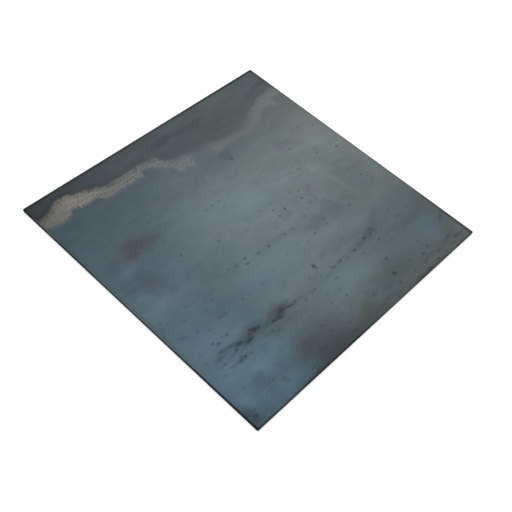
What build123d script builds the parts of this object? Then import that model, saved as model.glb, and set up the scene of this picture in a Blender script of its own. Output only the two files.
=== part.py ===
from build123d import *
import os
from math import atan2, degrees

# Square of hot-rolled steel plate, cut to size on a guillotine shear. It lies flat, with its
# origin at the centre of the underside, +X along the rolling direction and +Z up.

# The plate, in millimetres
plate_length = 600.0  # along the rolling direction
plate_width = 600.0  # across it
plate_thickness = 6.0
corner_radius = 1.5  # corners of the outline, blunted in handling

# Section of a sheared side, from the upper face down
rollover_width = 1.2  # the upper arris is drawn round as the blade enters, wide and shallow
rollover_depth = 0.5
land_height = 1.9  # upright band, burnished by the blade
fracture_setback = 0.4  # the torn slope below it leans back to the underside
dressed_radius = 0.2  # lower arris, with its burr dressed off

cut_overrun = 1.0  # how far a cutting profile reaches outside the plate

fracture_height = plate_thickness - rollover_depth - land_height
fracture_lean = degrees(atan2(fracture_setback, fracture_height))

with BuildPart() as steel_plate:
    # Upright part, from the foot of the burnished land to the upper face
    with BuildSketch(Plane.XY.offset(fracture_height)):
        RectangleRounded(plate_length, plate_width, corner_radius)
    extrude(amount=plate_thickness - fracture_height)

    # Fracture slope, leaning in towards the underside on all four sides
    land_foot = steel_plate.faces().sort_by(Axis.Z)[0]
    extrude(land_foot, amount=fracture_height, taper=fracture_lean)

    # Rolled-over upper arris: the waste above a quarter ellipse, run round the upper outline
    upper_outline = steel_plate.faces().sort_by(Axis.Z)[-1].outer_wire()
    along = upper_outline % 0
    inward = Vector(0, 0, 1).cross(along)
    with BuildSketch(Plane(origin=upper_outline @ 0, x_dir=inward, z_dir=along)):
        with BuildLine():
            EllipticalCenterArc(
                center=(rollover_width, -rollover_depth),
                x_radius=rollover_width,
                y_radius=rollover_depth,
                start_angle=90,
                arc_size=90,
            )
            Polyline(
                (0, -rollover_depth),
                (-cut_overrun, -rollover_depth),
                (-cut_overrun, cut_overrun),
                (rollover_width, cut_overrun),
                (rollover_width, 0),
            )
        make_face()
    sweep(path=upper_outline, mode=Mode.SUBTRACT)

    # Lower arris, dressed so that the plate lies flat
    fillet(steel_plate.faces().sort_by(Axis.Z)[0].edges(), dressed_radius)

steel_plate.part.label = "steel_plate"
os.makedirs("parts", exist_ok=True)
export_step(steel_plate.part, "parts/steel_plate.step")
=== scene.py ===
import math

import bmesh
import bpy
from mathutils import Color, Matrix, Vector, noise


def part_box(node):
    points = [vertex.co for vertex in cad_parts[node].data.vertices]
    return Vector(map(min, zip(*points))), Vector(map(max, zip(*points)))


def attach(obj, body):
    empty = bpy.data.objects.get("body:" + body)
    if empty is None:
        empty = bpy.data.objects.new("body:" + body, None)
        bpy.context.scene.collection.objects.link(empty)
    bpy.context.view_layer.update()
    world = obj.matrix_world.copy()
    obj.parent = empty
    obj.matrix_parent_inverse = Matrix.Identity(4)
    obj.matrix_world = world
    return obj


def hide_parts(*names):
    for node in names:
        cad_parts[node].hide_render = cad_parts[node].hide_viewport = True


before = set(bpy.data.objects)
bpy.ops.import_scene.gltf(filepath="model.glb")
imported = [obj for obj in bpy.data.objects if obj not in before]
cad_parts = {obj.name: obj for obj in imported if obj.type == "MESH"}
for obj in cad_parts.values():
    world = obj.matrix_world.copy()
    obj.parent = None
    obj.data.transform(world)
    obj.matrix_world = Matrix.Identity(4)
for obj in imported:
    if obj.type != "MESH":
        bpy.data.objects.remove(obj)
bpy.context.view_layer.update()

# Steel plate
# One square of hot-rolled mild steel, left in the blue-grey scale that the mill rolled on to it.
# A guillotine shear cut its four sides, so each is drawn round at the top, burnished below that
# and torn at the bottom. It is a single piece and lies flat.

mm = 0.001
plate_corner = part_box("steel_plate")[1]
half_side = plate_corner.x
thickness = plate_corner.z
corner_radius = 1.5 * mm
face_cells = 150  # squares along each side of the upper face
within = 0.01 * mm  # places nearer to each other than this count as one

# Section of a sheared side from the upper face down: how far in from the land it is, and how high
grid_inset = 2.4 * mm
rollover_width = 1.2 * mm
rollover_depth = 0.5 * mm
land_head_height = thickness - rollover_depth
land_foot_height = 3.6 * mm
tear_inset, tear_height = 0.24 * mm, 1.6 * mm
toe_inset, toe_height = 0.42 * mm, 0.15 * mm
foot_inset = 0.60 * mm
sheared_section = [(grid_inset, thickness)]
for degrees in (90, 72, 50, 25, 0):
    turned = math.radians(degrees)
    sheared_section.append((
        rollover_width * (1 - math.cos(turned)),
        land_head_height + rollover_depth * math.sin(turned),
    ))
sheared_section += [
    (0.0, land_foot_height),
    (tear_inset, tear_height),
    (toe_inset, toe_height),
    (foot_inset, 0.0),
]

# The upper face is a grid. Its rim is drawn out and down through the section, and the underside closes it
plate_mesh = bmesh.new()
ring_inset, ring_height = sheared_section[0]
bmesh.ops.create_grid(
    plate_mesh,
    x_segments=face_cells,
    y_segments=face_cells,
    size=half_side - ring_inset,
    matrix=Matrix.Translation((0, 0, ring_height)),
)
rim = [edge for edge in plate_mesh.edges if edge.is_boundary]
for next_inset, next_height in sheared_section[1:]:
    drawn = bmesh.ops.extrude_edge_only(plate_mesh, edges=rim)["geom"]
    ring = [part for part in drawn if isinstance(part, bmesh.types.BMVert)]
    rim = [part for part in drawn if isinstance(part, bmesh.types.BMEdge) and part.is_boundary]
    growth = (half_side - next_inset) / (half_side - ring_inset)
    bmesh.ops.scale(plate_mesh, verts=ring, vec=(growth, growth, 1))
    bmesh.ops.translate(plate_mesh, verts=ring, vec=(0, 0, next_height - ring_height))
    ring_inset, ring_height = next_inset, next_height
bmesh.ops.edgeloop_fill(plate_mesh, edges=rim)
bmesh.ops.recalc_face_normals(plate_mesh, faces=plate_mesh.faces)

# Corners blunted in handling
corner_reach = 3 * mm
corner_edges = []
for edge in plate_mesh.edges:
    on_diagonal = all(abs(abs(v.co.x) - abs(v.co.y)) < within for v in edge.verts)
    if on_diagonal and min(abs(v.co.x) for v in edge.verts) > half_side - corner_reach:
        corner_edges.append(edge)
bmesh.ops.bevel(
    plate_mesh,
    geom=corner_edges,
    offset=corner_radius,
    segments=4,
    profile=0.5,
    affect="EDGES",
    material=-1,
)
trim = half_side / max(point.co.x for point in plate_mesh.verts)
bmesh.ops.scale(plate_mesh, verts=plate_mesh.verts, vec=(trim, trim, 1))

# The rolled face is not dead flat, and the steel tore away along an uneven line. Waves are to the metre
face_from = 2 * mm
rolling_dip = 0.1 * mm
dip_margin = 40 * mm
dip_waves_along, dip_waves_across, dip_slice = 5, 9, 3.0
tear_wander = 0.5 * mm
wander_waves = 60
tear_pit = 0.15 * mm
pit_waves = 130
for point in plate_mesh.verts:
    place = point.co.copy()
    from_side = half_side - max(abs(place.x), abs(place.y))
    if place.z > thickness - within and from_side > face_from:
        wave_place = Vector((place.x * dip_waves_along, place.y * dip_waves_across, dip_slice))
        swell = 0.5 + 0.5 * noise.noise(wave_place)
        point.co.z -= rolling_dip * swell * min(1, from_side / dip_margin)
    elif abs(place.z - land_foot_height) < within:
        point.co.z += tear_wander * noise.noise(place * wander_waves)
    elif abs(place.z - tear_height) < within:
        pit = tear_pit * (1 + noise.noise(place * pit_waves)) / half_side
        point.co.x -= pit * place.x
        point.co.y -= pit * place.y

# The rollover is smooth, and the arrises of the land and the underside are crisp
crease = 0.1  # radians
for plate_face in plate_mesh.faces:
    plate_face.smooth = True
for edge in plate_mesh.edges:
    on_rollover = min(v.co.z for v in edge.verts) > land_head_height - within
    edge.smooth = on_rollover or edge.calc_face_angle(0) < crease

plate_data = bpy.data.meshes.new("plate")
plate_mesh.to_mesh(plate_data)
plate_mesh.free()
plate = bpy.data.objects.new("plate", plate_data)
bpy.context.scene.collection.objects.link(plate)


class Value:
    """One output of a node. Sums on it become Math nodes of the same finish."""

    def __init__(self, finish, output):
        self.finish = finish
        self.output = output

    def math(self, operation, first, second):
        return self.finish.node("ShaderNodeMath", {"operation": operation}, {0: first, 1: second})

    def __add__(self, other):
        return self.math("ADD", self, other)

    def __radd__(self, other):
        return self.math("ADD", other, self)

    def __sub__(self, other):
        return self.math("SUBTRACT", self, other)

    def __rsub__(self, other):
        return self.math("SUBTRACT", other, self)

    def __mul__(self, other):
        return self.math("MULTIPLY", self, other)

    def __rmul__(self, other):
        return self.math("MULTIPLY", other, self)

    def __truediv__(self, other):
        return self.math("DIVIDE", self, other)


class Finish:
    """The nodes of one material or world, added one at a time."""

    def __init__(self, owner):
        owner.use_nodes = True
        self.tree = owner.node_tree
        self.tree.nodes.clear()

    def node(self, kind, settings, sockets, output=0):
        """Adds a node with its settings, then fills its sockets, and gives one of its outputs."""
        made = self.tree.nodes.new(kind)
        for name, value in settings.items():
            if name == "stops":
                made.color_ramp.elements.remove(made.color_ramp.elements[1])
                made.color_ramp.elements[0].position, made.color_ramp.elements[0].color = value[0]
                for position, paint in value[1:]:
                    made.color_ramp.elements.new(position).color = paint
            elif name == "curve":
                line = made.mapping.curves[0].points
                line[0].location, line[1].location = value[0], value[-1]
                for at, height in value[1:-1]:
                    line.new(at, height)
                for point in line:
                    point.handle_type = "AUTO_CLAMPED"
                made.mapping.update()
            else:
                setattr(made, name, value)
        for name, value in sockets.items():
            if isinstance(value, Value):
                self.tree.links.new(value.output, made.inputs[name])
            else:
                made.inputs[name].default_value = value
        return Value(self, made.outputs[output]) if made.outputs else None

    def vector(self, operation, first, second, output=0):
        """Vector Math on two places."""
        return self.node("ShaderNodeVectorMath", {"operation": operation}, {0: first, 1: second}, output)

    def along(self, place, axis):
        """How far along one axis a place is."""
        return self.node("ShaderNodeSeparateXYZ", {}, {0: place}, axis)

    def ramp(self, value, none_at, full_at, full=1.0):
        """A soft step from 0 to full between two values."""
        return self.node(
            "ShaderNodeMapRange",
            {"interpolation_type": "SMOOTHSTEP", "clamp": False},
            {"Value": value, "From Min": none_at, "From Max": full_at, "To Max": full},
        )

    def wave(self, value, pitch):
        """A wave from -1 to 1 that comes again every pitch."""
        return self.node("ShaderNodeMath", {"operation": "SINE"}, {0: value * (2 * math.pi / pitch)})

    def cloud(self, place, size, stretch=(1, 1, 1), detail=2.0):
        """Noise whose clouds are about size millimetres across, drawn out along an axis by stretch."""
        scaled = self.vector("MULTIPLY", place, [1 / (size * longer) for longer in stretch])
        return self.node("ShaderNodeTexNoise", {}, {"Vector": scaled, "Scale": 1.0, "Detail": detail})

    def mix(self, share, under, over):
        """One colour laid over another, by a share from 0 to 1."""
        return self.node("ShaderNodeMix", {"data_type": "RGBA"}, {0: share, 6: under, 7: over}, 2)

    def blend(self, share, stops):
        """A colour that changes through (share, colour code) stops."""
        paints = [(position, shade(code)) for position, code in stops]
        return self.node("ShaderNodeValToRGB", {"stops": paints}, {"Fac": share})

    def toned(self, paint, strength):
        """A colour made darker by a strength below 1 and lighter by one above it."""
        return self.node("ShaderNodeHueSaturation", {}, {"Color": paint, "Value": strength})


def shade(code):
    """A colour from its six hex digits, as red, green, blue and alpha for a socket."""
    parts = [int(code[start:start + 2], 16) / 255 for start in (0, 2, 4)]
    return (*Color(parts).from_srgb_to_scene_linear(), 1.0)


side_length = round(2 * half_side / mm)  # in millimetres, as are the places of all marks


def share_of_side(place):
    """Where a place lies across the plate: 0 at one side and 1 at the other."""
    return place / side_length + 0.5


def line_through(finish, along, points):
    """The height of a line drawn through (place, height) points across the plate."""
    low = min(height for place, height in points)
    span = max(height for place, height in points) - low
    curve = [(share_of_side(place), (height - low) / span) for place, height in points]
    line = finish.node("ShaderNodeFloatCurve", {"curve": curve}, {"Value": share_of_side(along)})
    return line * span + low


def patch(finish, place, x, y, length, width, turn=0, depth=1.0):
    """A soft oval patch: as strong as depth at its middle, gone a little outside its length and width."""
    gone_at, full_at = 1.45, 0.1  # as shares of half the length or width
    turned = math.radians(turn)
    along = Vector((math.cos(turned), math.sin(turned), 0)) * (2 / length)
    across = Vector((-math.sin(turned), math.cos(turned), 0)) * (2 / width)
    if turn:
        turned_x = finish.vector("DOT_PRODUCT", place, along, "Value")
        turned_y = finish.vector("DOT_PRODUCT", place, across, "Value")
        local = finish.node("ShaderNodeCombineXYZ", {}, {"X": turned_x, "Y": turned_y})
    else:
        local = finish.vector("MULTIPLY", place, (along.x, across.y, 0))
    middle = Vector((x, y, 0))
    reach = finish.vector("DISTANCE", local, (along.dot(middle), across.dot(middle), 0), "Value")
    return finish.ramp(reach, gone_at, full_at, depth)


def lay_patches(finish, place, skin, code, patches):
    """Lays soft patches of one colour over the skin, each with a middle, length, width, turn and depth."""
    for middle_x, middle_y, length, width, turn, depth in patches:
        share = patch(finish, place, middle_x, middle_y, length, width, turn, depth)
        skin = finish.mix(share, skin, shade(code))
    return skin


def spots(finish, place, marks):
    """Dark spots, each at (x, y) with a length and a width: 1 inside any of them, 0 outside."""
    gone_at, full_at = 1.3, 0.3  # as shares of half the length or width
    nearest = 9.0  # any reach well outside the spots
    for length, width in sorted({mark[2:] for mark in marks}):
        local = finish.vector("MULTIPLY", place, (2 / length, 2 / width, 0))
        for x, y in [mark[:2] for mark in marks if mark[2:] == (length, width)]:
            reach = finish.vector("DISTANCE", local, (2 * x / length, 2 * y / width, 0), "Value")
            nearest = finish.node("ShaderNodeMath", {"operation": "MINIMUM"}, {0: reach, 1: nearest})
    return finish.ramp(nearest, gone_at, full_at)


def stripe(finish, distance, begins, full_from, full_to, ends):
    """A soft stripe beside a side, by the distance from that side in millimetres."""
    return finish.ramp(distance, begins, full_from) * finish.ramp(distance, ends, full_to)


plate_material = bpy.data.materials.new("rolled_scale")
scale = Finish(plate_material)

# Places on the plate in millimetres from its middle: x along the rolling direction and y across it
object_place = scale.node("ShaderNodeTexCoord", {}, {}, "Object")
level_place = scale.vector("MULTIPLY", object_place, (1 / mm, 1 / mm, 0))
x = scale.along(level_place, "X")
y = scale.along(level_place, "Y")
height = scale.along(object_place, "Z") / mm
share_along = share_of_side(x)


def shaken(size, shake):
    """Places moved about by up to half of shake millimetres, in waves of about size millimetres."""
    other_waves = scale.vector("ADD", level_place, (0, 0, 5 * size))
    moves = scale.node(
        "ShaderNodeCombineXYZ",
        {},
        {
            "X": shake * (scale.cloud(level_place, size) - 0.5),
            "Y": shake * (scale.cloud(other_waves, size) - 0.5),
        },
    )
    return scale.vector("ADD", level_place, moves)


# Shaken places: what is drawn on them gets wandering, uneven or ragged borders
drifting_place = shaken(34, 26)
shifting_place = shaken(14, 7)
ragged_place = shaken(7, 5)
shifting_x = scale.along(shifting_place, "X")
shifting_y = scale.along(shifting_place, "Y")
ragged_x = scale.along(ragged_place, "X")
ragged_y = scale.along(ragged_place, "Y")

# Rolled scale: steel blue at one end, grey in the middle and greener at the other. The face is paler along
# its middle and darker toward the two long sides, partly the scale's own tone and partly a painted sheen
skin = scale.blend(share_along, [
    (0.00, "576973"), (0.27, "5d6d74"), (0.42, "6a777c"), (0.52, "6f7c7f"), (0.70, "707b7c"),
    (1.00, "6e7776"),
])
# Painted sheen together with the scale's own tone: paler along the middle, darker toward the long sides
tone_and_painted_sheen = line_through(scale, y, [
    (-300, 0.46), (-285, 0.54), (-255, 0.70), (-225, 0.80), (-195, 0.85), (-135, 0.91), (-75, 0.94),
    (-15, 1.0), (45, 1.03), (105, 0.91), (165, 0.75), (210, 0.68), (300, 0.62),
])
long_clouds = scale.cloud(level_place, 44, (2.4, 1, 1), 3.0)
short_clouds = scale.cloud(level_place, 17, (1.7, 1, 1), 2.0)
fine_clouds = scale.cloud(level_place, 6, (1.5, 1, 1), 2.0)
cloudiness = 0.5 + 0.5 * long_clouds + 0.3 * short_clouds + 0.2 * fine_clouds
skin = scale.toned(skin, tone_and_painted_sheen * cloudiness)
plum_clouds = scale.cloud(level_place, 60, (1.6, 1, 1), 4.0)
skin = scale.mix(0.35 * scale.ramp(plum_clouds, 0.5, 0.75), skin, shade("62636f"))
moss_clouds = scale.cloud(level_place, 75, (1.3, 1, 1), 4.0)
moss = scale.ramp(moss_clouds, 0.5, 0.3) * scale.ramp(x, -130, 60)
skin = scale.mix(0.30 * moss, skin, shade("63716c"))

# Tints in the scale, where the oxide is thicker or thinner: place, length, width, turn and depth
tints = {
    "566265": [
        (205, -195, 360, 240, 0, 0.62), (215, -48, 170, 90, 0, 0.30), (100, -258, 90, 50, 0, 0.30),
        (90, -12, 60, 40, 0, 0.22),
    ],
    "4a585f": [(-225, 78, 200, 130, 0, 0.46), (-200, -100, 110, 36, 0, 0.22)],
    "608092": [
        (-250, -215, 190, 290, 0, 0.36), (-205, -284, 130, 40, 0, 0.24),
        (-215, -135, 140, 80, 0, 0.08), (-60, -95, 170, 80, 0, 0.20), (20, -195, 120, 60, 0, 0.18),
    ],
    "858f8e": [(268, 110, 130, 170, 0, 0.22)],
    "5f7684": [(-110, 180, 150, 56, 0, 0.22)],
    "75858a": [
        (-60, -80, 150, 60, 0, 0.28), (-85, -140, 110, 56, 0, 0.26), (30, -208, 84, 64, 0, 0.24),
        (-235, -136, 110, 44, 0, 0.18), (20, 30, 130, 60, 0, 0.40), (110, 45, 90, 40, 0, 0.20),
        (-65, 72, 170, 90, 0, 0.16), (-236, -21, 60, 26, 0, 0.14), (-190, -29, 50, 20, 0, 0.10),
        (60, -112, 150, 44, 0, 0.25), (150, -132, 90, 34, 0, 0.25), (-30, -100, 80, 30, 0, 0.20),
        (75, -215, 130, 40, 0, 0.25), (270, 45, 60, 60, 0, 0.25), (-262, -32, 70, 50, 0, 0.22),
        (-197, -152, 50, 18, 0, 0.25), (-75, -160, 60, 20, 0, 0.20), (90, -160, 60, 16, 0, 0.20),
        (-252, 62, 50, 30, 0, 0.22),
    ],
    "5d7480": [
        (-235, -212, 120, 60, 0, 0.45), (-262, -140, 70, 40, 0, 0.35),
        (-190, -262, 90, 30, 0, 0.40), (-258, -252, 80, 50, 0, 0.35), (248, -234, 84, 50, 70, 0.50),
        (-150, -215, 90, 30, 0, 0.25),
    ],
    "43505a": [
        (-238, 40, 30, 50, 0, 0.40), (-240, 8, 38, 20, 0, 0.22), (-275, 28, 32, 18, 0, 0.28),
        (-270, 91, 56, 28, 0, 0.34), (-213, -11, 24, 16, 0, 0.15), (-278, 183, 28, 12, 0, 0.40),
        (-270, 210, 18, 14, 0, 0.30), (-150, 180, 180, 50, 0, 0.22), (-275, 70, 50, 70, 0, 0.15),
        (-262, 38, 60, 50, 0, 0.20), (-212, 12, 50, 40, 0, 0.18),
    ],
    "454850": [
        (-232, 20, 50, 40, 0, 0.24), (78, 156, 32, 24, 0, 0.34), (-223, 143, 14, 11, 0, 0.18),
        (-250, 14, 30, 20, 0, 0.12), (-125, -252, 44, 30, 0, 0.40), (73, -267, 28, 17, 0, 0.38),
        (-118, -171, 50, 28, 0, 0.34), (-185, -170, 110, 26, 0, 0.30), (94, -138, 9, 8, 0, 0.25),
        (232, -127, 9, 8, 0, 0.25), (176, 47, 18, 22, 0, 0.15), (-190, -111, 32, 11, 0, 0.24),
    ],
    "47484b": [
        (-202, 100, 116, 46, -6, 0.30), (-211, 109, 42, 20, -8, 0.42), (-178, 98, 60, 18, -5, 0.34),
        (-226, 82, 38, 20, 20, 0.42), (-140, 104, 70, 16, 0, 0.13), (-214, 94, 46, 26, 0, 0.24),
    ],
    "4a595b": [
        (140, -88, 48, 32, 0, 0.40), (94, -87, 48, 28, -10, 0.30), (110, -72, 130, 44, 0, 0.14),
        (245, -193, 112, 20, 12, 0.34), (277, -172, 60, 16, 25, 0.24),
        (215, -185, 110, 14, 4, 0.18), (60, -31, 26, 20, 0, 0.25), (0, -60, 80, 15, 0, 0.25),
        (123, -263, 44, 22, 0, 0.38), (84, -262, 50, 26, 0, 0.20), (42, -259, 26, 14, 0, 0.25),
        (221, -201, 50, 13, 0, 0.40), (187, -191, 46, 9, 0, 0.40), (241, -194, 19, 18, 0, 0.40),
        (115, -172, 190, 18, 4, 0.25), (175, -152, 60, 16, 25, 0.22),
    ],
    "4a4c4d": [
        (-96, -257, 118, 70, 0, 0.58), (-120, -273, 36, 20, 0, 0.25), (140, -297, 70, 9, 0, 0.40),
    ],
    "6f919d": [
        (-277, -252, 36, 40, 0, 0.22), (-258, -203, 70, 46, 0, 0.18), (-168, -221, 60, 56, 0, 0.18),
        (-202, -278, 46, 30, 0, 0.10), (-212, -224, 50, 40, 0, 0.30),
    ],
    "33424c": [(-296, -277, 40, 56, 0, 0.62), (-155, -295, 120, 14, 0, 0.32)],
    "363d3d": [
        (-80, -286, 120, 36, 0, 0.50), (0, -288, 120, 22, 0, 0.30), (-150, -284, 50, 4, 0, 0.35),
    ],
    "4c5658": [
        (150, -210, 84, 64, 0, 0.15), (283, -205, 110, 160, 0, 0.42), (110, -250, 120, 60, 0, 0.35),
        (35, 150, 120, 60, 0, 0.22), (115, 157, 100, 36, 0, 0.22),
    ],
    "4a5248": [
        (2, -274, 60, 24, 22, 0.50), (34, -249, 25, 8, 25, 0.35), (108, -254, 96, 40, 0, 0.20),
        (25, -275, 14, 10, 0, 0.30),
    ],
    "767a74": [
        (288, -274, 24, 36, 0, 0.28), (250, -291, 90, 12, 0, 0.22), (231, -105, 30, 6, 38, 0.25),
        (80, -296, 90, 12, 0, 0.16), (185, -288, 90, 14, 0, 0.20), (77, -126, 7, 6, 0, 0.35),
    ],
}
for code, patches in tints.items():
    skin = lay_patches(scale, drifting_place, skin, code, patches)

# Strip beyond the tide line, where standing water left the scale dull and dark
tide_top = line_through(scale, ragged_x, [
    (-300, 265), (-290, 260), (-275, 263), (-262, 267), (-255, 272), (-245, 276), (-222, 276),
    (-215, 271), (-205, 267), (-190, 264), (-180, 259), (-165, 254), (-150, 247), (-130, 246),
    (-100, 245), (-65, 245), (-50, 242), (-35, 241), (-27, 229), (-20, 224), (-12, 215), (0, 213),
    (15, 210), (30, 205), (70, 199), (90, 194), (105, 190), (140, 189), (158, 188), (172, 193),
    (185, 199), (200, 208), (215, 216), (228, 220), (245, 228), (260, 229), (280, 232), (300, 234),
])
tide_foot = line_through(scale, ragged_x, [
    (-300, 237), (-280, 230), (-265, 228), (-243, 232), (-238, 238), (-230, 242), (-222, 240),
    (-215, 235), (-200, 233), (-185, 233), (-172, 224), (-165, 221), (-130, 219), (-110, 218),
    (-95, 221), (-80, 217), (-76, 230), (-55, 228), (-48, 216), (-40, 213), (-28, 201), (-22, 198),
    (-20, 181), (-10, 176), (0, 181), (10, 171), (20, 181), (30, 187), (40, 187), (55, 171),
    (85, 168), (105, 172), (140, 171), (160, 168), (175, 172), (190, 175), (205, 181), (213, 183),
    (220, 193), (235, 195), (250, 196), (260, 190), (268, 198), (275, 210), (300, 204),
])
tide_blur = line_through(scale, x, [
    (-300, 5), (-40, 5), (10, 9), (50, 19), (150, 19), (190, 12), (230, 8), (300, 7),
])
tide_cover = line_through(scale, x, [(-300, 8), (-20, 7), (30, 1), (190, 1), (240, 4), (300, 4)])
above_top = ragged_y - tide_top
beyond = scale.ramp((above_top + tide_cover) / tide_blur, -1.2, 0.9)
strip_shade = scale.blend(share_along, [
    (0.00, "393c3e"), (0.12, "424648"), (0.30, "495054"), (0.55, "4e5558"), (0.80, "535c5d"),
    (1.00, "535a5e"),
])
strip_streaks = scale.cloud(level_place, 20, (3.5, 1, 1), 2.0)
strip_shade = scale.toned(strip_shade, 0.75 + 0.5 * strip_streaks)
skin = scale.mix(0.93 * beyond, skin, strip_shade)
strip_clouds = [
    (12, 262, 84, 24, 0, 0.40), (80, 260, 84, 20, 0, 0.34), (250, 250, 70, 18, 0, 0.20),
    (280, 257, 40, 12, 0, 0.40), (108, 259, 12, 9, 0, 0.40), (-190, 284, 120, 14, 0, 0.20),
    (130, 232, 190, 44, 0, 0.20),
]
skin = lay_patches(scale, drifting_place, skin, "343b40", strip_clouds)
damp_depth = line_through(scale, x, [
    (-300, 0.32), (-250, 0.28), (-150, 0.18), (-60, 0.05), (0, 0.0), (300, 0.0),
])
damp = scale.ramp(above_top, 16, 3) * beyond
skin = scale.mix(damp * damp_depth, skin, shade("242627"))

# Smoky mottling of the scale in the near left part of the face
mottle_grain = scale.cloud(ragged_place, 13, (1.5, 1, 1), 4.0)
mottled = patch(scale, level_place, -210, -225, 250, 190) * scale.ramp(mottle_grain, 0.50, 0.70)
skin = scale.mix(0.22 * mottled, skin, shade("3b464d"))

# Ripples in the scale beside the near side
ripple_pitch = 5.4
ripples = scale.wave(shifting_y, ripple_pitch)
ripple_zone = patch(scale, drifting_place, -155, -282, 70, 22)
skin = scale.mix(0.09 * ripple_zone * scale.ramp(ripples, -0.5, 0.9), skin, shade("8aa3af"))

# Scale broken out along the rolling direction: dark flecks in lines and single spots
deep_marks = [
    (-210, -169, 14, 7), (-191, -176, 20, 7), (-184, -167, 9, 6), (-177, -162, 9, 6),
    (-171, -166, 13, 9), (-163, -169, 9, 6), (-133, -178, 12, 7), (-119, -180, 12, 7),
    (-107, -171, 18, 8), (-91, -175, 14, 6), (33, -173, 10, 6), (55, -171, 11, 5),
    (91, -173, 10, 5), (108, -171, 12, 4), (126, -166, 11, 6), (-213, -143, 9, 6),
    (143, -168, 14, 5), (-75, -50, 10, 5), (-79, -62, 11, 5), (-48, -59, 10, 5), (-22, -60, 7, 6),
    (21, -62, 8, 6), (-49, 76, 7, 5), (-236, -146, 10, 8), (-243, -139, 9, 6), (-256, -181, 8, 6),
    (-221, -175, 8, 6), (-230, -195, 9, 8), (-219, -193, 9, 6), (6, -146, 9, 9), (8, -153, 5, 8),
    (146, -188, 9, 6), (121, -226, 9, 7), (106, -257, 10, 10), (98, -277, 7, 7), (212, -281, 9, 6),
    (-284, -281, 10, 6), (47, -7, 7, 6), (67, -18, 8, 8), (46, -25, 7, 6), (111, -22, 8, 7),
    (249, -60, 8, 6), (147, -63, 7, 5), (65, -98, 7, 6), (82, 139, 8, 7), (-157, 31, 8, 6),
    (270, 24, 8, 6),
]
middling_marks = [
    (-253, -169, 25, 10), (-243, -159, 14, 8), (-223, -162, 20, 6), (-106, -166, 14, 7),
    (-84, -176, 8, 6), (-76, -175, 8, 6), (-79, -181, 8, 6), (-59, -186, 8, 7), (-30, -181, 10, 5),
    (29, -169, 8, 5), (41, -171, 8, 5), (49, -171, 8, 5), (65, -169, 8, 5), (156, -166, 14, 8),
    (-114, -49, 10, 5), (-99, -52, 14, 6), (42, -62, 8, 5), (-33, 78, 7, 5), (-16, 77, 11, 5),
    (153, -161, 9, 6), (-226, -189, 8, 6), (-207, -195, 8, 6), (-129, -160, 7, 6),
    (-149, -175, 7, 6), (-149, -190, 7, 6), (-139, -196, 7, 6), (-270, -196, 7, 6),
    (-279, -160, 7, 5), (-281, -50, 7, 6), (-209, -58, 7, 5), (-225, -56, 7, 5), (-247, -75, 6, 6),
    (-204, -85, 7, 5), (-245, -104, 7, 6), (-195, -110, 8, 5), (-184, -110, 6, 5),
    (-141, -110, 7, 7), (-229, -116, 7, 5), (18, -193, 10, 5), (-19, -159, 7, 6), (-30, -221, 7, 6),
    (3, -230, 7, 6), (-37, -269, 7, 6), (-104, -274, 7, 6), (-77, -242, 7, 6), (-72, -259, 7, 6),
    (42, -260, 12, 9), (54, -284, 8, 5), (141, -280, 8, 6), (152, -258, 9, 6), (183, -266, 10, 8),
    (204, -259, 8, 7), (197, -293, 8, 5), (199, -241, 7, 6), (264, -282, 8, 5), (-278, -271, 9, 5),
    (219, -153, 8, 6), (221, -176, 18, 5), (248, -173, 9, 5), (100, -191, 7, 5), (164, -205, 8, 5),
    (164, 33, 7, 6), (225, 38, 7, 8), (104, 2, 8, 6), (121, -5, 7, 6), (129, -26, 7, 5),
    (258, -81, 8, 6), (169, -96, 8, 6), (241, -32, 8, 6), (104, -85, 7, 6), (27, 10, 7, 6),
    (56, 8, 7, 5), (-82, 10, 6, 5), (-49, 10, 6, 5), (0, 131, 7, 6), (250, 114, 8, 6),
    (190, 81, 7, 8), (-260, 84, 7, 6), (-212, 87, 8, 7), (280, 257, 16, 6), (265, 36, 7, 6),
]
faint_length, faint_width = 8, 6
faint_places = [
    (-274, -141), (-221, -139), (-170, -134), (-247, -194), (-146, -211), (-203, -214),
    (-111, -151), (-111, -193), (-86, -163), (-45, -157), (-10, -137), (-59, -136), (36, -141),
    (-21, -204), (2, -212), (-181, 44), (-186, 17), (-179, -7), (-251, -39), (-276, -1),
    (-181, -76), (-181, -89), (-279, -74), (-123, -111), (-97, -44), (-96, -15), (-26, -7),
    (21, -41), (-84, -94), (-56, -102), (-68, -77), (-9, -96), (21, -93), (41, -102), (-89, -111),
    (-21, -114), (175, 21), (139, 38), (230, 50), (117, -41), (131, -41), (98, -47), (140, -54),
    (81, -57), (55, -67), (103, 76), (256, -69), (174, -72), (190, -95), (100, -98), (-94, 119),
    (-16, 61), (-31, 111), (229, 113), (277, 70), (-157, 75), (-187, 74), (-149, 127), (-131, 120),
    (-66, -236), (-90, -226), (222, -292), (246, -287), (171, -279), (-38, -184), (-1, -171),
    (10, -178), (64, -177), (130, -176), (169, -146), (277, 97), (204, 101), (-230, -246),
    (-215, -255), (-201, -266), (-197, -274), (-262, -230), (-240, -234),
]
faint_marks = [(mark_x, mark_y, faint_length, faint_width) for mark_x, mark_y in faint_places]
deep = spots(scale, ragged_place, deep_marks)
middling = spots(scale, ragged_place, middling_marks)
faint = spots(scale, ragged_place, faint_marks)
streak_zone = (
    patch(scale, level_place, -160, -172, 220, 36)
    + patch(scale, level_place, 98, -170, 190, 16)
    + patch(scale, level_place, -50, -180, 100, 14, depth=0.6)
)
streak_grain = scale.cloud(ragged_place, 6, (2.4, 1, 1), 3.0)
streak = streak_zone * scale.ramp(streak_grain, 0.5, 0.66)
smoke_zone = (
    patch(scale, drifting_place, -168, -172, 190, 34)
    + patch(scale, drifting_place, 138, -163, 84, 18, 14)
)
smoke_grain = scale.cloud(shifting_place, 11, (1.9, 1, 1), 3.0)
smoke = smoke_zone * scale.ramp(smoke_grain, 0.42, 0.64)
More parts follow.
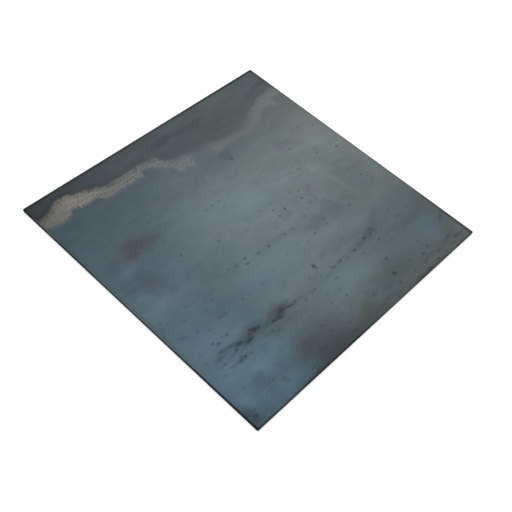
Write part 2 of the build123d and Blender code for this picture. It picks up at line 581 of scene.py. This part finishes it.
smears = [
    (-209, -169, 26, 10, -14, 0.32), (-192, -176, 34, 9, 12, 0.40), (-172, -167, 30, 13, 0, 0.45),
    (-119, -177, 24, 13, 20, 0.36), (-106, -172, 44, 12, 8, 0.34), (-93, -175, 36, 7, 0, 0.30),
    (-134, -178, 26, 8, 0, 0.26), (-112, -166, 60, 20, 0, 0.14), (-230, -163, 50, 11, -6, 0.25),
    (-228, -193, 50, 9, 0, 0.34), (-195, -258, 60, 10, -8, 0.14), (-232, -250, 50, 14, -12, 0.12),
    (-128, -255, 34, 18, 0, 0.08), (-106, -272, 30, 12, 0, 0.14), (147, -162, 36, 14, 12, 0.26),
    (172, -148, 56, 20, 22, 0.09), (183, 105, 42, 6, -6, 0.20), (240, -4, 36, 16, 0, 0.12),
    (276, -2, 32, 5, 0, 0.10), (282, -233, 36, 9, 38, 0.32), (250, -273, 54, 7, 14, 0.34),
    (278, -283, 34, 6, 8, 0.42), (106, -257, 14, 13, 0, 0.14), (142, -297, 64, 5, 0, 0.30),
    (166, -296, 16, 8, 0, 0.62), (196, -293, 14, 6, 0, 0.30), (223, -292, 14, 6, 0, 0.34),
    (249, -289, 20, 6, 0, 0.34), (174, -280, 18, 7, 20, 0.22), (192, -275, 18, 4, 0, 0.20),
    (185, -266, 11, 8, 0, 0.20), (-234, -238, 36, 20, 0, 0.26), (-229, -264, 24, 18, 0, 0.16),
    (-232, -255, 80, 4, 0, 0.20), (-274, -232, 42, 4, -8, 0.08), (-202, -268, 14, 18, 0, 0.20),
    (-157, -257, 30, 42, 0, 0.10), (6, -147, 9, 12, 0, 0.35), (102, -200, 30, 4, 0, 0.22),
    (105, -225, 34, 5, 8, 0.10), (46, -285, 26, 4, 10, 0.22), (136, -280, 20, 5, -4, 0.22),
    (-271, -98, 26, 7, -28, 0.26), (177, -77, 20, 6, -30, 0.14), (204, -259, 12, 7, 20, 0.18),
    (264, -282, 9, 7, 0, 0.26), (108, -289, 18, 7, 0, 0.18), (-50, -178, 56, 8, -9, 0.22),
    (-284, -281, 12, 8, 0, 0.30), (4, -178, 64, 10, 8, 0.14),
]
skin = scale.mix(0.29 * smoke, skin, shade("3c434a"))
skin = scale.mix(0.34 * streak, skin, shade("363a41"))
skin = lay_patches(scale, ragged_place, skin, "2f353b", smears)
skin = scale.mix(0.25 * faint, skin, shade("3c444a"))
skin = scale.mix(0.33 * middling, skin, shade("363d42"))
skin = scale.mix(0.44 * deep, skin, shade("2e3338"))

# Tide line: chalky deposit left by drying water, in soft clots with rows of dull hollows between them
tooth_pitch = 7.3
row_pitch = 0.39  # of the width of the band
row_start = 0.2425
clots = scale.cloud(shifting_place, 5.2, (1, 1.35, 1), 0.6)
band_clouds = scale.cloud(level_place, 14, (1.3, 1, 1), 2.0)
clot_swell = 4 * (clots - 0.5)
teeth = scale.wave(shifting_x, tooth_pitch)
above_foot = ragged_y - tide_foot
across_band = above_foot / (tide_top - tide_foot)
in_band = (
    scale.ramp(above_top - clot_swell, 4, -4)
    * scale.ramp(above_foot + 0.8 * teeth + clot_swell, -7, 7)
)
rows = scale.wave(across_band - row_start, row_pitch)
hollows = scale.ramp(rows, -0.2, 0.9) * scale.ramp(teeth, 0.3, -0.7)
hollow_depth = line_through(scale, x, [
    (-300, 0.08), (-230, 0.16), (-190, 0.24), (-165, 0.42), (-60, 0.44), (20, 0.50), (60, 0.40),
    (150, 0.30), (300, 0.28),
])
deposit_depth = line_through(scale, x, [
    (-300, 0.60), (-275, 0.70), (-240, 0.90), (-215, 1.0), (-180, 0.88), (-150, 0.70), (-100, 0.72),
    (-60, 0.62), (-20, 0.50), (10, 0.44), (30, 0.18), (45, 0.04), (68, 0.10), (80, 0.36),
    (110, 0.26), (150, 0.22), (172, 0.22), (200, 0.42), (230, 0.46), (260, 0.60), (285, 0.52),
    (300, 0.45),
])
deposit_grain = 0.68 + 0.74 * (clots - 0.5) + 0.6 * (band_clouds - 0.5) - hollow_depth * hollows
deposit_grain = deposit_grain - scale.ramp(across_band, 0.50, 1.05, 0.30)
deposit = in_band * deposit_depth * deposit_grain
deposit_shade = scale.blend(share_along, [
    (0.00, "8f877c"), (0.14, "a29c90"), (0.35, "979690"), (0.52, "999b99"), (0.66, "97989c"),
    (1.00, "8f9694"),
])
skin = scale.mix(deposit, skin, deposit_shade)

# A pale run of water down the plate
run = patch(scale, ragged_place, 199, -40, 108, 10, -81.5, 0.17)
run_head = patch(scale, drifting_place, 190, 20, 36, 30, depth=0.18)
skin = scale.mix(run + run_head, skin, shade("8d9894"))

# Rim: the shear drew the scale down at the sides and crazed it, which shows as a broken dark line inside
# the left arris. Painted shade darkens the face along each side, standing in for the shade of the rolled
# arrises and sheared sides. A painted highlight runs along the left arris, and a broken painted highlight
# beside the near side
side_at = half_side / mm
to_left = side_at + x
to_right = side_at - x
to_near = side_at + y
to_far = side_at - y
arris_highlight_depth = line_through(scale, y, [
    (-300, 0.0), (-260, 0.15), (-180, 0.32), (-60, 0.48), (20, 0.50), (90, 0.30), (170, 0.36),
    (220, 0.60), (255, 0.60), (275, 0.05), (300, 0.0),
])
# Painted highlight along the rolled arris of the left side
skin = scale.mix(arris_highlight_depth * stripe(scale, to_left, 1.0, 2.2, 2.8, 4.0), skin, shade("6c747d"))
shine_depth = line_through(scale, x, [
    (-300, 0.05), (-275, 0.20), (-215, 0.17), (-180, 0.05), (-150, 0.0), (190, 0.0), (235, 0.14),
    (275, 0.14), (300, 0.05),
])
# Painted highlight: a broken pale line beside parts of the near side
from_near = to_near + 5 * (short_clouds - 0.5)
near_shine = shine_depth * stripe(scale, from_near, 2.5, 4.5, 6.0, 8.5)
skin = scale.mix(near_shine * scale.ramp(fine_clouds, 0.38, 0.58), skin, shade("7f97a3"))
broken = scale.ramp(short_clouds, 0.36, 0.56) * scale.ramp(y, -190, -60)
left_shade_depth = line_through(scale, y, [
    (-300, 1.0), (-240, 1.0), (-160, 0.92), (-80, 0.68), (20, 0.64), (90, 0.72), (160, 0.86),
    (255, 0.84), (280, 0.95), (300, 0.95),
])
left_shade_width = line_through(scale, y, [
    (-300, 4.0), (-230, 3.2), (-150, 2.5), (-70, 2.0), (60, 2.1), (160, 2.7), (255, 2.2),
    (280, 3.6), (300, 5.0),
])
near_shade_depth = line_through(scale, x, [
    (-300, 0.40), (-240, 0.46), (-160, 0.62), (-80, 0.76), (0, 0.30), (80, 0.0), (160, 0.20),
    (240, 0.0), (300, 0.30),
])
far_shade_depth = line_through(scale, x, [
    (-300, 0.60), (-100, 0.60), (0, 0.54), (90, 0.60), (170, 0.76), (300, 0.80),
])
# Painted shade along each side, with the real broken crazing line inside the left arris
crazing_and_painted_shade = (
    0.30 * broken * stripe(scale, to_left, 3.2, 4.6, 5.4, 7.0)
    + scale.ramp(to_left, 9, 3, 0.08)
    + left_shade_depth * scale.ramp(to_left / left_shade_width, 1.0, 0.3)
    + scale.ramp(to_near, 9, 1, 0.17)
    + near_shade_depth * scale.ramp(to_near, 3.6, 1.0)
    + far_shade_depth * scale.ramp(to_far, 8.5, 3.2)
)
skin = scale.mix(crazing_and_painted_shade, skin, shade("1c2022"))
# Painted shade along the right side
right_shade_depth = line_through(scale, y, [
    (-300, 0.66), (-230, 0.64), (-150, 0.42), (-60, 0.25), (190, 0.25), (235, 0.42), (300, 0.55),
])
right_shade_width = line_through(scale, y, [
    (-300, 10.0), (-200, 7.5), (-100, 5.5), (180, 5.5), (235, 10.5), (300, 12.0),
])
skin = scale.mix(right_shade_depth * scale.ramp(to_right / right_shade_width, 1.0, 0.35), skin, shade("2c2b28"))

# Sheared sides: dark steel with fine upright scoring, blackest where the plate was torn. Their colour is
# darkened further as painted shade, and on the left side toward the near corner it is painted black as
# shade
scoring = scale.cloud(object_place, 1.2 * mm, (1, 1, 8), 2.0)
side_steel_and_painted_shade = scale.mix(scale.ramp(height, 3.0, 4.2), shade("0d0e0f"), shade("202426"))
side_steel_and_painted_shade = scale.toned(side_steel_and_painted_shade, 0.6 + 0.8 * scoring)
# Painted shade: the left side blackened toward the near corner
painted_corner_shade = scale.ramp(y, -90, -210) * scale.ramp(to_left, 1.6, 0.9)
side_steel_and_painted_shade = scale.mix(0.8 * painted_corner_shade, side_steel_and_painted_shade, shade("030404"))
side = scale.ramp(height, thickness / mm - 0.12, thickness / mm - 0.4)
skin = scale.mix(side, skin, side_steel_and_painted_shade)

# Underside: the same scale, plainer, rubbed along the rolling direction
under_clouds = scale.cloud(level_place, 30, (3, 1, 1), 4.0)
under_shade = scale.mix(scale.ramp(under_clouds, 0.35, 0.65), shade("4d585e"), shade("667379"))
skin = scale.mix(scale.ramp(height, 0.2, 0.05), skin, under_shade)

# Gloss and relief: the scale is satin, the deposit and the broken spots are dull
dull = deposit + 0.5 * deep + 0.3 * middling
roughness = 0.42 + 0.10 * long_clouds + 0.08 * fine_clouds + 0.25 * dull
grain = scale.cloud(level_place, 1.6, (1.6, 1, 1), 3.0)
bump = scale.node(
    "ShaderNodeBump",
    {},
    {"Strength": 0.12, "Distance": 0.3 * mm, "Height": grain + 0.6 * fine_clouds},
)
plate_surface = scale.node(
    "ShaderNodeBsdfPrincipled",
    {},
    {
        "Base Color": skin,
        "Roughness": roughness,
        "Metallic": (0.4 - 0.35 * deposit) * (1 - side),
        "Specular IOR Level": 0.08,
        "Normal": bump,
    },
)
scale.node("ShaderNodeOutputMaterial", {}, {"Surface": plate_surface})
plate_data.materials.append(plate_material)

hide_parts("steel_plate")
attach(plate, "root")

# Floor
# A plain white studio floor. It is matt, keeps the plate's shadow, and shows as white to the camera
# and in reflections.

floor_half = 8.0
floor_drop = 0.2 * mm
floor_white = (0.8, 0.8, 0.8, 1)
floor_glow_strength = 0.58
floor_mesh = bmesh.new()
bmesh.ops.create_grid(
    floor_mesh, x_segments=1, y_segments=1, size=floor_half, matrix=Matrix.Translation((0, 0, -floor_drop))
)
floor_data = bpy.data.meshes.new("floor")
floor_mesh.to_mesh(floor_data)
floor_mesh.free()
floor = bpy.data.objects.new("floor", floor_data)
bpy.context.scene.collection.objects.link(floor)


def seen_directly(finish):
    """1 for rays from the camera, a reflection or a clear part, and 0 for rays that only carry light."""
    camera_ray = finish.node("ShaderNodeLightPath", {}, {}, "Is Camera Ray")
    glossy_ray = finish.node("ShaderNodeLightPath", {}, {}, "Is Glossy Ray")
    clear_ray = finish.node("ShaderNodeLightPath", {}, {}, "Is Transmission Ray")
    return camera_ray + glossy_ray + clear_ray


floor_material = bpy.data.materials.new("studio_floor")
white_floor = Finish(floor_material)
floor_paint = white_floor.node("ShaderNodeBsdfDiffuse", {}, {"Color": floor_white})
floor_glow = white_floor.node(
    "ShaderNodeEmission",
    {},
    {"Color": (1, 1, 1, 1), "Strength": floor_glow_strength * seen_directly(white_floor)},
)
floor_surface = white_floor.node("ShaderNodeAddShader", {}, {0: floor_paint, 1: floor_glow})
white_floor.node("ShaderNodeOutputMaterial", {}, {"Surface": floor_surface})
floor_data.materials.append(floor_material)

# Light
# White surroundings give most of the light, and one wide lamp above the far side of the plate gives
# it a direction, so that the two near sides are in shade.

surroundings_strength = 0.62
world = bpy.data.worlds.new("studio")
bpy.context.scene.world = world
surroundings = Finish(world)
shown_white = (1 - surroundings_strength) * seen_directly(surroundings)
surroundings_light = surroundings.node(
    "ShaderNodeBackground",
    {},
    {"Color": (1, 1, 1, 1), "Strength": surroundings_strength + shown_white},
)
surroundings.node("ShaderNodeOutputWorld", {}, {"Surface": surroundings_light})

lamp_place = Vector((1.15, 0.85, 1.95))
lamp = bpy.data.objects.new("lamp", bpy.data.lights.new("lamp", "AREA"))
lamp.data.size = 2.2
lamp.data.energy = 11
lamp.location = lamp_place
lamp.rotation_euler = (-lamp_place).to_track_quat("-Z", "Y").to_euler()
bpy.context.scene.collection.objects.link(lamp)

# Camera
# It stands beyond the corner nearest to it and looks down on the plate, turned a little about its
# own line of sight.

camera_azimuth = math.radians(-53.79)
camera_elevation = math.radians(52.76)
camera_turn = math.radians(9.65)
camera_distance = 1.5353
camera_aim = Vector((-52.2, -57.5, 0)) * mm
camera_back = Vector((
    math.sin(camera_azimuth) * math.cos(camera_elevation),
    -math.cos(camera_azimuth) * math.cos(camera_elevation),
    math.sin(camera_elevation),
))
camera = bpy.data.objects.new("camera", bpy.data.cameras.new("camera"))
camera.data.lens = 59.17
camera.location = camera_aim + camera_distance * camera_back
camera_level = (-camera_back).to_track_quat("-Z", "Y").to_matrix()
camera.rotation_euler = (camera_level @ Matrix.Rotation(camera_turn, 3, "Z")).to_euler()
bpy.context.scene.collection.objects.link(camera)
bpy.context.scene.camera = camera
bpy.context.scene.view_settings.view_transform = "Standard"
